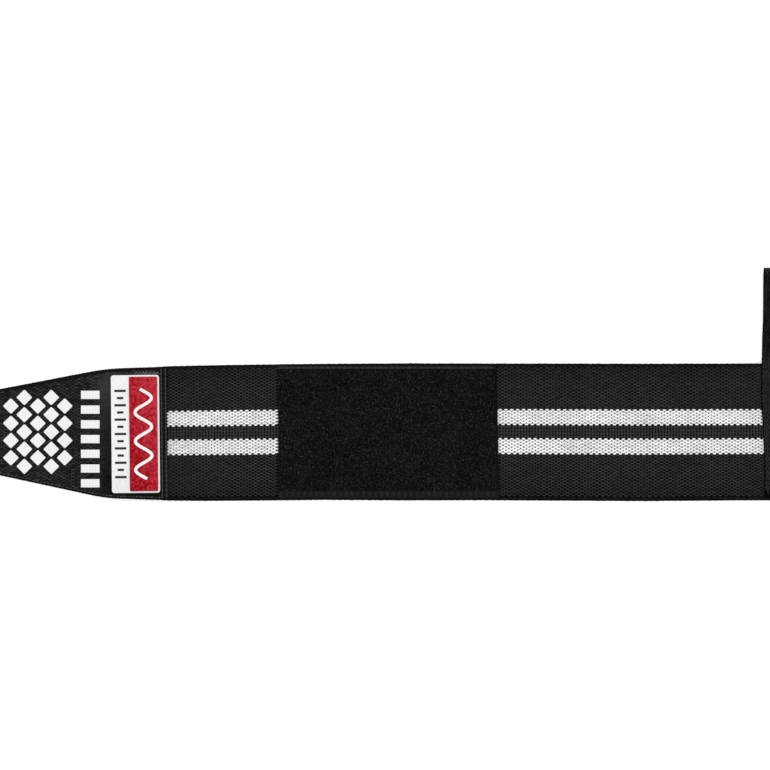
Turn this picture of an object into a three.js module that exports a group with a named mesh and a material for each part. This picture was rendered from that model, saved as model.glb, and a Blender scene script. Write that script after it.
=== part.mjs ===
// A wrist wrap laid out flat with its outer face up: a wide elastic band, a tapered closure tab with a label at
// one end, a loop patch on the band, and a thumb loop of tape at the other end.
// Millimetres. +X runs along the band from the tab to the loop, +Y across it to the side that the loop reaches
// out of, and +Z up from the surface that the wrap lies on. The origin is in the middle of the wrap's length,
// on the band's centreline and its underside.
import * as THREE from "three";

// Driving dimensions: the whole wrap
const wrapLength = 460; // from the tip of the tab to the outer edge of the tape
const plyGap = 0.3; // between two cloths that are sewn together

// Driving dimensions: the elastic band
const bandWidth = 76;
const bandThick = 2.1;
const bandSettle = 20; // length in which the band comes down to the surface beside a lifted end
const bandEndCover = 1.5; // from the band's end to the outer edge of the tape that hides it

// Driving dimensions: the closure tab
const tabLength = 107.8; // from the tip to the seam across the band
const tabTipWidth = 42.1;
const tabTipCorner = 10;
const tabTaperLength = 73.7; // from the tip to the shoulder, where the taper ends
const tabShoulderRound = 9; // how far before and after the shoulder its bend reaches
const tabThick = 1.5;
const tabRiseLength = 14; // the slope where the tab climbs over the band's end
const tabLap = 29.5; // how far the band reaches in under the tab
const tabEndClearance = 1.5; // from the top of the slope to the band's end below it
const tabLapInset = 1.5; // how far inside the tab's edges the band's hidden end is cut

// Driving dimensions: the hook panel
const hookThick = 1.6;
const hookInset = 1.4; // from the tab's edge to the panel's edge

// Driving dimensions: the loop patch
const patchFromSeam = 62;
const patchLength = 122.4;
const patchGroundThick = 0.8;
const patchPileHeight = 0.9; // how far the pile stands above the ground cloth
const patchMargin = 1.4; // band showing beyond the patch at each side
const patchUpperSelvedge = 1.7; // ground cloth without pile along the +Y edge
const patchLowerSelvedge = 3.9; // ground cloth without pile along the -Y edge
const patchSkewLength = 1.8; // how much further the far end reaches at its -Y corner than at its +Y corner

// Driving dimensions: the label
const labelWidth = 26.8; // along the band
const labelHeight = 65.6; // across the band
const labelThick = 0.6;
const labelCorner = 1.5;
const labelFromSeam = 4;
const labelDrop = 0.3; // from the tab's middle to the label's, towards the -Y edge
const labelLean = 0.6; // degrees, anticlockwise from above
const labelStrip = 10.1; // the blank white strip beside the red field
const labelBorder = 1.3; // the white border on the field's other sides
const fieldThick = 0.3;

// Driving dimensions: the thumb loop
const tapeWidth = 20;
const tapeThick = 1.4;
const loopReach = 53.5; // from the band's edge to the outside of the fold
const loopGap = 8.8; // inside height of the hollow at the fold
const loopRun = 2; // how far the upper ply stays level past the band's edge
const tapeEndInset = 0.4; // from the band's far edge to the cut ends of the tape

// How round the long edges of each cloth are, as a share of its thickness
const edgeRound = 0.38;

// The band's outline from the seam to the tape, in shares of its length there and of its width: it is a little
// drawn in beside the tab, and its centreline wanders by less than a millimetre.
const BAND_OUTLINE = [
  { along: 0.0, widthShare: 0.98, swayShare: -0.0112 },
  { along: 0.06, widthShare: 0.989, swayShare: -0.0097 },
  { along: 0.125, widthShare: 0.992, swayShare: -0.0062 },
  { along: 0.26, widthShare: 0.994, swayShare: 0.0 },
  { along: 0.4, widthShare: 1.0, swayShare: 0.0 },
  { along: 0.53, widthShare: 0.998, swayShare: 0.0 },
  { along: 0.8, widthShare: 1.003, swayShare: -0.004 },
  { along: 1.0, widthShare: 0.998, swayShare: 0.0 },
];

// The shoulder of the tab, where its taper ends: shares of the band's width
const SHOULDER = { widthShare: 0.95, swayShare: -0.0118 };

// How far the tape wanders along the band on its way round, in shares of its own length and width
const TAPE_DRIFT = [
  { along: 0.0, driftShare: -0.045 },
  { along: 0.3, driftShare: -0.05 },
  { along: 0.5, driftShare: -0.02 },
  { along: 0.71, driftShare: -0.025 },
  { along: 1.0, driftShare: 0.055 },
];

// Places along the wrap, measured from the tip of the tab
const seamAt = tabLength;
const bandStartAt = seamAt - tabLap;
const bandEndAt = wrapLength - bandEndCover;
const tapeAt = wrapLength - tapeWidth;
const tapeInnerEdgeAt = tapeAt + tapeWidth * Math.min(...TAPE_DRIFT.map((row) => row.driftShare));
const riseEndAt = bandStartAt - tabEndClearance;
const riseStartAt = riseEndAt - tabRiseLength;

// Heights above the surface
const tabLowBase = hookThick + plyGap;
const bandUnderTabBase = hookThick + plyGap;
const tabHighBase = bandUnderTabBase + bandThick + plyGap;
const labelBase = tabHighBase + tabThick + plyGap;
const bandOnTapeBase = tapeThick + plyGap;
const patchBase = bandThick + plyGap;

const finishes = {
  elastic: { color: "#232325", roughness: 0.85 },
  tabCloth: { color: "#1e1e20", roughness: 0.8 },
  hookTape: { color: "#161617", roughness: 0.7 },
  loopPile: { color: "#131314", roughness: 0.95 },
  labelWhite: { color: "#f6f6f6", roughness: 0.6 },
  labelRed: { color: "#a5212b", roughness: 0.65 },
  tape: { color: "#1c1c1e", roughness: 0.8 },
};

function clothMesh(name, geometry, finish) {
  const mesh = new THREE.Mesh(geometry, new THREE.MeshStandardMaterial({ metalness: 0, ...finish }));
  mesh.name = name;
  return mesh;
}

// A value from a table's column, straight between its rows.
function readTable(table, along, column) {
  const next = table.findIndex((row) => row.along >= along);
  if (next === -1) return table[table.length - 1][column];
  if (next === 0) return table[0][column];
  const low = table[next - 1];
  const high = table[next];
  return THREE.MathUtils.mapLinear(along, low.along, high.along, low[column], high[column]);
}

// Evenly spaced values from one to another, both included.
function evenly(from, to, steps) {
  return Array.from({ length: steps + 1 }, (_, i) => THREE.MathUtils.lerp(from, to, i / steps));
}

// Sorted places with none closer together than a tenth of a millimetre.
function inOrder(places) {
  return places.sort((a, b) => a - b).filter((place, i, all) => i === 0 || place - all[i - 1] > 0.1);
}

// The cut across a strip of cloth, going round it once: u across its width, v through its thickness.
function cutAcross(width, thick) {
  const round = thick * edgeRound;
  const quarters = [
    { u: width / 2 - round, v: round - thick / 2, from: -90 },
    { u: width / 2 - round, v: thick / 2 - round, from: 0 },
    { u: round - width / 2, v: thick / 2 - round, from: 90 },
    { u: round - width / 2, v: round - thick / 2, from: 180 },
  ];
  return quarters.flatMap(({ u, v, from }) =>
    evenly(from, from + 90, 2).map((degrees) => {
      const angle = THREE.MathUtils.degToRad(degrees);
      return { u: u + round * Math.cos(angle), v: v + round * Math.sin(angle) };
    }),
  );
}

// One closed skin through a row of rings, with a flat fan at each end.
function skinThrough(rings) {
  const count = rings[0].length;
  const last = (rings.length - 1) * count;
  const index = [];
  for (let start = 0; start < last; start += count) {
    for (let i = 0; i < count; i++) {
      const here = start + i;
      const next = start + ((i + 1) % count);
      index.push(here, next, here + count);
      index.push(next, next + count, here + count);
    }
  }
  for (let i = 1; i < count - 1; i++) {
    index.push(0, i + 1, i);
    index.push(last, last + i, last + i + 1);
  }
  const positions = rings.flat().flatMap((point) => point.toArray());
  const geometry = new THREE.BufferGeometry();
  geometry.setAttribute("position", new THREE.Float32BufferAttribute(positions, 3));
  geometry.setIndex(index);
  geometry.computeVertexNormals();
  return geometry;
}

// A strip of cloth that runs along X, whose width, middle and height above the surface change on the way.
function stripAlong(places, { widthAt, middleAt, baseAt, thick }) {
  return skinThrough(
    places.map((x) =>
      cutAcross(widthAt(x), thick).map(
        ({ u, v }) => new THREE.Vector3(x, middleAt(x) + u, baseAt(x) + thick / 2 + v),
      ),
    ),
  );
}

function bandShare(x) {
  return THREE.MathUtils.clamp((x - seamAt) / (tapeAt - seamAt), 0, 1);
}

function bandWidthAt(x) {
  return bandWidth * readTable(BAND_OUTLINE, bandShare(x), "widthShare");
}

function bandMiddleAt(x) {
  return bandWidth * readTable(BAND_OUTLINE, bandShare(x), "swayShare");
}

// The band lies on the surface, and its ends lie on the hook panel and on the lower ply of the tape.
function bandBaseAt(x) {
  const overHooks = 1 - THREE.MathUtils.smoothstep(x, seamAt + plyGap, seamAt + plyGap + bandSettle);
  const overTape = THREE.MathUtils.smoothstep(x, tapeInnerEdgeAt - plyGap - bandSettle, tapeInnerEdgeAt - plyGap);
  return bandUnderTabBase * overHooks + bandOnTapeBase * overTape;
}

function elasticBand() {
  const places = inOrder([
    bandStartAt,
    ...BAND_OUTLINE.map((row) => THREE.MathUtils.lerp(seamAt, tapeAt, row.along)),
    ...evenly(seamAt + plyGap, seamAt + plyGap + bandSettle, 8),
    ...evenly(tapeInnerEdgeAt - plyGap - bandSettle, tapeInnerEdgeAt - plyGap, 8),
    bandEndAt,
  ]);
  const geometry = stripAlong(places, {
    widthAt: (x) => (x < seamAt ? tabWidthAt(x) - 2 * tabLapInset : bandWidthAt(x)),
    middleAt: (x) => (x < seamAt ? tabMiddleAt(x) : bandMiddleAt(x)),
    baseAt: bandBaseAt,
    thick: bandThick,
  });
  return clothMesh("elastic_band", geometry, finishes.elastic);
}

// The tab's width before its tip is rounded: a straight taper to the shoulder, then nearly parallel to the seam,
// with a bend that takes the corner off the shoulder.
function tabPlainWidthAt(x) {
  const shoulderWidth = bandWidth * SHOULDER.widthShare;
  const taper = (shoulderWidth - tabTipWidth) / tabTaperLength;
  const flare = (bandWidthAt(seamAt) - shoulderWidth) / (seamAt - tabTaperLength);
  const cornered = shoulderWidth + (x - tabTaperLength) * (x < tabTaperLength ? taper : flare);
  const intoBend = Math.max(tabShoulderRound - Math.abs(x - tabTaperLength), 0);
  return cornered - ((taper - flare) * intoBend ** 2) / (4 * tabShoulderRound);
}

function shoulderPlaces() {
  return evenly(tabTaperLength - tabShoulderRound, tabTaperLength + tabShoulderRound, 6);
}

// What a rounded corner takes off one side at a distance from the end.
function cornerLoss(distance, radius) {
  if (distance >= radius) return 0;
  return radius - Math.sqrt(radius ** 2 - (radius - distance) ** 2);
}

function tabWidthAt(x) {
  return tabPlainWidthAt(x) - 2 * cornerLoss(x, tabTipCorner);
}

function tabMiddleAt(x) {
  const shoulderSway = bandWidth * SHOULDER.swayShare;
  if (x < tabTaperLength) return shoulderSway * (x / tabTaperLength);
  return THREE.MathUtils.mapLinear(x, tabTaperLength, seamAt, shoulderSway, bandMiddleAt(seamAt));
}

function tabBaseAt(x) {
  return THREE.MathUtils.lerp(tabLowBase, tabHighBase, THREE.MathUtils.smoothstep(x, riseStartAt, riseEndAt));
}

// Places close together round a corner of the tip, worked out from even steps of its angle.
function cornerPlaces(start, radius) {
  return evenly(0, Math.PI / 2, 7).map((angle) => start + radius * (1 - Math.cos(angle)));
}

function closureTab() {
  const places = inOrder([
    ...cornerPlaces(0, tabTipCorner),
    ...evenly(riseStartAt, riseEndAt, 8),
    ...shoulderPlaces(),
    seamAt,
  ]);
  const geometry = stripAlong(places, {
    widthAt: tabWidthAt,
    middleAt: tabMiddleAt,
    baseAt: tabBaseAt,
    thick: tabThick,
  });
  return clothMesh("closure_tab", geometry, finishes.tabCloth);
}

function hookPanel() {
  const corner = Math.max(tabTipCorner - hookInset, plyGap);
  const places = inOrder([...cornerPlaces(hookInset, corner), ...shoulderPlaces(), seamAt]);
  const geometry = stripAlong(places, {
    widthAt: (x) => tabPlainWidthAt(x) - 2 * hookInset - 2 * cornerLoss(x - hookInset, corner),
    middleAt: tabMiddleAt,
    baseAt: () => 0,
    thick: hookThick,
  });
  return clothMesh("hook_panel", geometry, finishes.hookTape);
}

// The patch's cut across the band: a block of pile between two bare selvedges of the ground cloth.
function loopPatch() {
  const half = bandWidth / 2 - patchMargin;
  const pileTop = patchGroundThick + patchPileHeight;
  const pileRound = patchPileHeight * edgeRound;
  const across = new THREE.Shape();
  across.moveTo(-half, 0);
  across.lineTo(half, 0);
  across.lineTo(half, patchGroundThick);
  across.lineTo(half - patchUpperSelvedge, patchGroundThick);
  across.lineTo(half - patchUpperSelvedge, pileTop - pileRound);
  across.lineTo(half - patchUpperSelvedge - pileRound, pileTop);
  across.lineTo(patchLowerSelvedge + pileRound - half, pileTop);
  across.lineTo(patchLowerSelvedge - half, pileTop - pileRound);
  across.lineTo(patchLowerSelvedge - half, patchGroundThick);
  across.lineTo(-half, patchGroundThick);
  const geometry = new THREE.ExtrudeGeometry(across, { depth: patchLength, bevelEnabled: false });
  // The cut is drawn in its own plane: its width turns to Y, its height to Z and its length to X.
  geometry.applyMatrix4(
    new THREE.Matrix4().makeBasis(
      new THREE.Vector3(0, 1, 0),
      new THREE.Vector3(0, 0, 1),
      new THREE.Vector3(1, 0, 0),
    ),
  );
  const corners = geometry.getAttribute("position");
  for (let i = 0; i < corners.count; i++) {
    const atFarEnd = corners.getX(i) > patchLength / 2;
    if (atFarEnd) corners.setX(i, corners.getX(i) - patchSkewLength * (corners.getY(i) / bandWidth));
  }
  const mesh = clothMesh("loop_patch", geometry, finishes.loopPile);
  mesh.position.set(seamAt + patchFromSeam, 0, patchBase);
  return mesh;
}

function roundedRectangle(width, height, corner) {
  const shape = new THREE.Shape();
  shape.absarc(width / 2 - corner, height / 2 - corner, corner, 0, Math.PI / 2);
  shape.absarc(corner - width / 2, height / 2 - corner, corner, Math.PI / 2, Math.PI);
  shape.absarc(corner - width / 2, corner - height / 2, corner, Math.PI, 1.5 * Math.PI);
  shape.absarc(width / 2 - corner, corner - height / 2, corner, 1.5 * Math.PI, 2 * Math.PI);
  return shape;
}

// The white label and its red field share one group, which leans a little on the tab.
function label() {
  const group = new THREE.Group();
  const frameShape = roundedRectangle(labelWidth, labelHeight, labelCorner);
  const frame = new THREE.ExtrudeGeometry(frameShape, { depth: labelThick, bevelEnabled: false, curveSegments: 4 });
  group.add(clothMesh("label_frame", frame, finishes.labelWhite));

  const fieldWidth = labelWidth - labelStrip - labelBorder;
  const fieldHeight = labelHeight - 2 * labelBorder;
  const fieldShape = roundedRectangle(fieldWidth, fieldHeight, labelCorner / 3);
  const fieldSolid = new THREE.ExtrudeGeometry(fieldShape, { depth: fieldThick, bevelEnabled: false, curveSegments: 2 });
  const field = clothMesh("label_field", fieldSolid, finishes.labelRed);
  field.position.set((labelStrip - labelBorder) / 2, 0, labelThick + plyGap);
  group.add(field);

  const middle = seamAt - labelFromSeam - labelWidth / 2;
  group.position.set(middle, tabMiddleAt(middle) - labelDrop, labelBase);
  group.rotation.z = THREE.MathUtils.degToRad(labelLean);
  return group;
}

// The tape's route across the wrap, drawn with Y to the right and Z up: along the surface under the band and past
// its edge, round the fold, down onto the band and over it.
function tapeRoute() {
  const bandEdge = bandWidth / 2;
  const cutEnd = tapeEndInset - bandEdge;
  const foldRadius = (loopGap + tapeThick) / 2;
  const foldMiddle = bandEdge + loopReach - tapeThick / 2 - foldRadius;
  const lowLevel = tapeThick / 2;
  const highLevel = lowLevel + 2 * foldRadius;
  const overLevel = bandOnTapeBase + bandThick + plyGap + tapeThick / 2;
  const landing = bandEdge + loopRun;
  const span = foldMiddle - landing;
  const point = (y, z) => new THREE.Vector2(y, z);
  return [
    { curve: new THREE.LineCurve(point(cutEnd, lowLevel), point(foldMiddle, lowLevel)), steps: 8 },
    {
      curve: new THREE.EllipseCurve(
        foldMiddle,
        lowLevel + foldRadius,
        foldRadius,
        foldRadius,
        -Math.PI / 2,
        Math.PI / 2,
      ),
      steps: 14,
    },
    {
      curve: new THREE.CubicBezierCurve(
        point(foldMiddle, highLevel),
        point(foldMiddle - 0.45 * span, highLevel),
        point(landing + 0.25 * span, overLevel),
        point(landing, overLevel),
      ),
      steps: 16,
    },
    { curve: new THREE.LineCurve(point(landing, overLevel), point(cutEnd, overLevel)), steps: 6 },
  ];
}

function thumbLoop() {
  const route = tapeRoute();
  const lengths = route.map(({ curve }) => curve.getLength());
  const whole = lengths.reduce((sum, length) => sum + length, 0);
  const rings = [];
  let passed = 0;
  route.forEach(({ curve, steps }, leg) => {
    const firstStep = leg === 0 ? 0 : 1;
    for (let step = firstStep; step <= steps; step++) {
      const share = step / steps;
      const middle = curve.getPointAt(share);
      const ahead = curve.getTangentAt(share);
      const along = (passed + share * lengths[leg]) / whole;
      const drift = tapeWidth * readTable(TAPE_DRIFT, along, "driftShare");
      rings.push(
        cutAcross(tapeWidth, tapeThick).map(
          ({ u, v }) =>
            new THREE.Vector3(tapeWidth / 2 + drift + u, middle.x + ahead.y * v, middle.y - ahead.x * v),
        ),
      );
    }
    passed += lengths[leg];
  });
  const mesh = clothMesh("thumb_loop", skinThrough(rings), finishes.tape);
  mesh.position.x = tapeAt;
  return mesh;
}

const laidOut = new THREE.Group();
laidOut.position.x = -wrapLength / 2;
laidOut.add(elasticBand(), closureTab(), hookPanel(), loopPatch(), label(), thumbLoop());

const wristWrap = new THREE.Group();
wristWrap.add(laidOut);

export default wristWrap;
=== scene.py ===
# %% [markdown]
# A wrist wrap, laid out flat with its outer face up.
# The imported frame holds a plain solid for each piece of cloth: the elastic band, the closure tab, the hook
# panel, the loop patch, the label and its field, and the tape of the thumb loop. Here each solid is dressed
# as the cloth that it is. A cloth's look comes from its yarns, so most of the work below is one small yarn,
# modelled once, repeated in rows, and laid on the surface that carries it.

# %% Load the frame
import math
from contextlib import contextmanager

import bmesh
import bpy
import numpy as np
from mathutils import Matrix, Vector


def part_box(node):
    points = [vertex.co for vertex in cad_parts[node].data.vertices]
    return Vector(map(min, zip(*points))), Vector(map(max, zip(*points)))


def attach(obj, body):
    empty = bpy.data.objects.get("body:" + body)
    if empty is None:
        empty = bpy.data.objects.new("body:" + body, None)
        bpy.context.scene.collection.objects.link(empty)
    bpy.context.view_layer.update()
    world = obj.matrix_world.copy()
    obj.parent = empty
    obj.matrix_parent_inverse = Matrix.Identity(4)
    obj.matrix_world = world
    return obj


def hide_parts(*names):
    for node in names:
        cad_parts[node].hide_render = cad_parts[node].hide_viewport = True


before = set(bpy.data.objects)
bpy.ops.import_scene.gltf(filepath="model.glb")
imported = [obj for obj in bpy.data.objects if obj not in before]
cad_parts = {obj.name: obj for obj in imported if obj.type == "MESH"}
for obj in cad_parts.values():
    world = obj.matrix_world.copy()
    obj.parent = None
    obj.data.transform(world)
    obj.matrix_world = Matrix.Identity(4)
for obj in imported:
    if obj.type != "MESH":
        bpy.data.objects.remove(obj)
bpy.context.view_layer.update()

# %% [markdown]
# Every size below is in metres. The wrap's own sizes come from the frame wherever it holds them: a CAD strip
# of cloth has a ring of points at each place where its outline turns, and those rings give its two sides and
# its two faces at any place along the wrap.

# %% Read the strips of cloth from the frame
mm = 0.001


def read_strip(node):
    """The places along X where a CAD strip has its rings, with its sides and its faces at each."""
    corners = np.array([v.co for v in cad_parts[node].data.vertices])
    strip = {key: [] for key in ("x", "low", "high", "base", "top")}
    for x in np.unique(corners[:, 0].round(5)):
        ring = corners[np.abs(corners[:, 0] - x) < 0.02 * mm]
        strip["x"].append(x)
        strip["low"].append(ring[:, 1].min())
        strip["high"].append(ring[:, 1].max())
        strip["base"].append(ring[:, 2].min())
        strip["top"].append(ring[:, 2].max())
    return {key: np.array(column) for key, column in strip.items()}


def at(strip, x, column):
    return np.interp(x, strip["x"], strip[column])


band = read_strip("elastic_band")
tab = read_strip("closure_tab")
hooks = read_strip("hook_panel")
tip_x = float(tab["x"][0])
seam_x = float(tab["x"][-1])
print("rings:", len(band["x"]), "band,", len(tab["x"]), "tab,", len(hooks["x"]), "hook panel")

# %% [markdown]
# The camera looks straight down, as the photograph does, through a long lens from far above, so that the
# raised fold of the thumb loop hides no more than it does in the photograph. The photograph shows a stretch
# of 429 mm, and the tip of the tab and the outer edge of the tape lie past its edges.

# %% Camera
photo_pixels = 770
photo_pixel_size = 0.5568 * mm
photo_middle = (-0.72 * mm, 26.1 * mm)
cloth_level = 2 * mm
lens_mm = 800.0
sensor_mm = 36.0

stretch_in_view = photo_pixels * photo_pixel_size
camera_height = cloth_level + stretch_in_view * lens_mm / sensor_mm
bpy.ops.object.camera_add(location=(*photo_middle, camera_height), rotation=(0, 0, 0))
camera = bpy.context.object
camera.name = "camera"
camera.data.lens = lens_mm
camera.data.sensor_width = sensor_mm
camera.data.clip_end = 4 * camera_height
bpy.context.scene.camera = camera
print("camera", round(camera_height, 3), "m up, seeing", round(stretch_in_view / mm, 1), "mm")

# %% [markdown]
# The sky and the materials are built from shader nodes. These helpers add a node and fill its inputs, with
# values or with the outputs of other nodes.

# %% Node helpers
def fill(tree, node, inputs):
    for key, value in inputs.items():
        if isinstance(value, bpy.types.NodeSocket):
            tree.links.new(value, node.inputs[key])
        else:
            node.inputs[key].default_value = value
    return node


def add(tree, kind, inputs=None, **settings):
    node = tree.nodes.new(kind)
    for key, value in settings.items():
        setattr(node, key, value)
    return fill(tree, node, inputs or {})


def calculate(tree, operation, first, second=0.0, third=0.0):
    return add(tree, "ShaderNodeMath", {0: first, 1: second, 2: third}, operation=operation).outputs[0]


# %% [markdown]
# Studio light for black cloth on white: a pale tent that is brightest overhead, as a big soft box is. The
# tops of the yarns catch it, their flanks turn away from it, and no shadow falls to one side. Two weak soft
# lamps at the left and the right give the edges a little shape.

# %% Sky, lamps and floor
scene = bpy.context.scene
scene.view_settings.view_transform = "Standard"
scene.view_settings.look = "None"

sky_low, sky_high = 0.25, 1.45
sky = bpy.data.worlds.new("sky")
sky.use_nodes = True
scene.world = sky
direction = add(sky.node_tree, "ShaderNodeTexCoord").outputs["Generated"]
upwards = add(sky.node_tree, "ShaderNodeSeparateXYZ", {0: direction}).outputs["Z"]
by_height = {"Value": upwards, "To Min": sky_low, "To Max": sky_high}
glow = add(sky.node_tree, "ShaderNodeMapRange", by_height, interpolation_type="SMOOTHSTEP").outputs["Result"]
fill(sky.node_tree, sky.node_tree.nodes["Background"], {"Color": (1, 1, 1, 1), "Strength": glow})


def soft_lamp(name, place, size, watts):
    """A square soft lamp that faces the middle of the wrap."""
    bpy.ops.object.light_add(type="AREA", location=place)
    lamp = bpy.context.object
    lamp.name = name
    lamp.data.shape = "SQUARE"
    lamp.data.size = size
    lamp.data.energy = watts
    towards = -lamp.location.normalized()
    lamp.rotation_euler = towards.to_track_quat("-Z", "Y").to_euler()
    return lamp


soft_lamp("lamp_back_left", (-1.5, 1.2, 1.6), 1.4, 24)
soft_lamp("lamp_front_right", (1.5, -1.2, 1.8), 1.4, 12)


def floor_finish():
    """A pale matt board that is lit from below as well, with a grain too faint to show as a pattern."""
    glow_from_below = 0.2
    finish = bpy.data.materials.new("pale_floor")
    finish.use_nodes = True
    tree = finish.node_tree
    place = add(tree, "ShaderNodeTexCoord").outputs["Object"]
    grain = add(tree, "ShaderNodeTexNoise", {"Vector": place, "Scale": 6.0}).outputs["Fac"]
    tone = add(tree, "ShaderNodeMapRange", {"Value": grain, "To Min": 0.95, "To Max": 1.0}).outputs["Result"]
    look = {"Base Color": tone, "Roughness": 0.9, "Specular IOR Level": 0.1}
    glow = {"Emission Color": (1, 1, 1, 1), "Emission Strength": glow_from_below}
    fill(tree, tree.nodes["Principled BSDF"], look | glow)
    return finish


bpy.ops.mesh.primitive_plane_add(size=24, location=(0, 0, -0.05 * mm))
floor = bpy.context.object
floor.name = "floor"
floor.data.materials.append(floor_finish())
print("stage: sky, 2 lamps, floor")

# %% [markdown]
# Helpers for modelling. A finished piece keeps its place in its mesh, with its object at the origin. Before
# a piece of cloth is laid in place, its flat coordinates are written to an attribute called cloth: along,
# across and above. Patterns in the materials read it, so a weave follows the cloth round every bend.

# %% Helpers: select, edit, measure
def select_only(*pieces):
    bpy.ops.object.select_all(action="DESELECT")
    for piece in pieces:
        piece.select_set(True)
    bpy.context.view_layer.objects.active = pieces[0]


@contextmanager
def editing(piece, selected=None):
    """Edit mode for one piece, with all of it selected, none of it, or what was selected before."""
    select_only(piece)
    bpy.ops.object.mode_set(mode="EDIT")
    if selected:
        bpy.ops.mesh.select_all(action=selected)
    yield
    bpy.ops.object.mode_set(mode="OBJECT")


def named(piece, name):
    piece.name = piece.data.name = name
    return piece


def added(name):
    """The piece that an operator has just added, under its name, with its place and size in its mesh."""
    bpy.ops.object.transform_apply(location=True, rotation=True, scale=True)
    return named(bpy.context.object, name)


def select_edges(piece, test):
    """In edit mode, selects just the edges whose two ends pass a test."""
    bpy.ops.mesh.select_mode(type="EDGE")
    bpy.ops.mesh.select_all(action="DESELECT")
    mesh = bmesh.from_edit_mesh(piece.data)
    for edge in mesh.edges:
        if test(edge.verts[0].co, edge.verts[1].co):
            edge.select_set(True)
    bmesh.update_edit_mesh(piece.data)


def round_edges(piece, test, offset, segments):
    """In edit mode, rounds the edges whose two ends pass a test."""
    select_edges(piece, test)
    bpy.ops.mesh.bevel(offset=offset, segments=segments, affect="EDGES")


def read_points(piece):
    points = np.empty(3 * len(piece.data.vertices), np.float32)
    piece.data.vertices.foreach_get("co", points)
    return points.reshape(-1, 3).astype(float)


def write_points(piece, points):
    piece.data.vertices.foreach_set("co", points.astype(np.float32).ravel())
    piece.data.update()


def remember(piece, name, values):
    """Keeps one number or one vector for each point of a mesh, for its material to read."""
    kind, field = ("FLOAT", "value") if values.ndim == 1 else ("FLOAT_VECTOR", "vector")
    kept = piece.data.attributes.new(name, kind, "POINT")
    kept.data.foreach_set(field, values.astype(np.float32).ravel())


def keep_flat(piece):
    """Keeps a piece's flat coordinates as its cloth attribute, and gives them back."""
    flat = read_points(piece)
    remember(piece, "cloth", flat)
    return flat


# %% Helpers: plates and strips of cloth
def along_x(a, b):
    return abs(a.y - b.y) < 1e-7 and abs(a.z - b.z) < 1e-7 and abs(a.x - b.x) > 1e-6


def upright(a, b):
    return abs(a.x - b.x) < 1e-7 and abs(a.y - b.y) < 1e-7


def new_block(name, size, middle):
    """A block of a size about its middle, ready to be shaped."""
    bpy.ops.mesh.primitive_cube_add(size=1, scale=size, location=middle)
    return added(name)


def cloth_strip(name, places, width, thick, halvings=0, rounding=0.38):
    """A closed strip with rounded long edges, cut across at chosen places along X."""
    first, last = places[0], places[-1]
    piece = new_block(name, (last - first, width, thick), ((first + last) / 2, 0, thick / 2))
    with editing(piece):
        round_edges(piece, along_x, thick * rounding, 3)
        for cuts in [(len(places) - 1) // 2**halvings - 1] + [1] * halvings:
            select_edges(piece, along_x)
            bpy.ops.mesh.subdivide(number_cuts=cuts)
    points = read_points(piece)
    points[:, 0] = np.interp(points[:, 0], np.linspace(first, last, len(places)), places)
    write_points(piece, points)
    return piece


def cloth_plate(name, width, height, thick, corner, edge):
    """A flat plate about the origin, standing on z = 0, with round corners and a small round top edge."""
    piece = new_block(name, (width, height, thick), (0, 0, thick / 2))
    with editing(piece):
        round_edges(piece, upright, corner, 5)
        round_edges(piece, lambda a, b: min(a.z, b.z) > thick * 0.99, edge, 2)
    return piece


def round_ends(piece, offset, *ends):
    """Rounds the edges of a strip at places along X, as cloth that is turned under."""
    for x in ends:
        with editing(piece):
            round_edges(piece, lambda a, b: max(abs(a.x - x), abs(b.x - x)) < 0.01 * mm, offset, 3)


# %% Helpers: laying cloth in place
def lay_on(piece, strip, face="top", flat_width=None):
    """Lays flat coordinates on a strip's upper or lower face, or in its own thickness, with its outline."""
    x, across, above = keep_flat(piece).T
    middle = 0.0
    stretch = 1.0
    if flat_width:
        middle = (at(strip, x, "low") + at(strip, x, "high")) / 2
        stretch = (at(strip, x, "high") - at(strip, x, "low")) / flat_width
    way = -1 if face == "under" else 1
    level = at(strip, x, "top" if face == "top" else "base")
    write_points(piece, np.column_stack([x, middle + way * across * stretch, level + way * above]))


def distances(route):
    """How far along a route each of its points lies."""
    steps = np.linalg.norm(np.diff(route, axis=0), axis=1)
    return np.concatenate([[0], np.cumsum(steps)])


def lay_along(piece, route, sideways=None):
    """Bends flat coordinates along a route of points: x follows it, y goes to its side and z away from it."""
    flat = keep_flat(piece)
    passed = distances(route)
    slope = np.gradient(route, passed, axis=0)
    place, ahead = [
        np.column_stack([np.interp(flat[:, 0], passed, column) for column in values.T])
        for values in (route, slope)
    ]
    ahead /= np.linalg.norm(ahead, axis=1, keepdims=True)
    side = np.cross((0, 0, 1), ahead) if sideways is None else np.tile(sideways, (len(flat), 1))
    side = side / np.linalg.norm(side, axis=1, keepdims=True)
    write_points(piece, place + side * flat[:, 1:2] + np.cross(ahead, side) * flat[:, 2:3])


def finish_piece(piece, material, smooth_below=50):
    """Gives a piece its shading, its material and its body."""
    select_only(piece)
    bpy.ops.object.shade_smooth_by_angle(angle=math.radians(smooth_below))
    piece.data.materials.clear()
    piece.data.materials.append(material)
    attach(piece, "root")
    print(f"{piece.name}: {sum(len(face.vertices) - 2 for face in piece.data.polygons)} triangles")
    return piece


def finish_yarns(piece, material):
    """Finishes a piece made of yarns, which are smooth all round but for their cut undersides."""
    return finish_piece(piece, material, smooth_below=80)


# %% Helpers: copies in rows
random = np.random.default_rng(76)


def copy_of(piece, name):
    copy = piece.copy()
    copy.data = piece.data.copy()
    bpy.context.scene.collection.objects.link(copy)
    return named(copy, name)


def repeat(piece, count, step):
    """Repeats a piece in a row, with an Array modifier that is applied."""
    select_only(piece)
    row = piece.modifiers.new("row", "ARRAY")
    row.use_relative_offset = False
    row.use_constant_offset = True
    row.constant_offset_displace = step
    row.count = count
    bpy.ops.object.modifier_apply(modifier=row.name)


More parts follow.
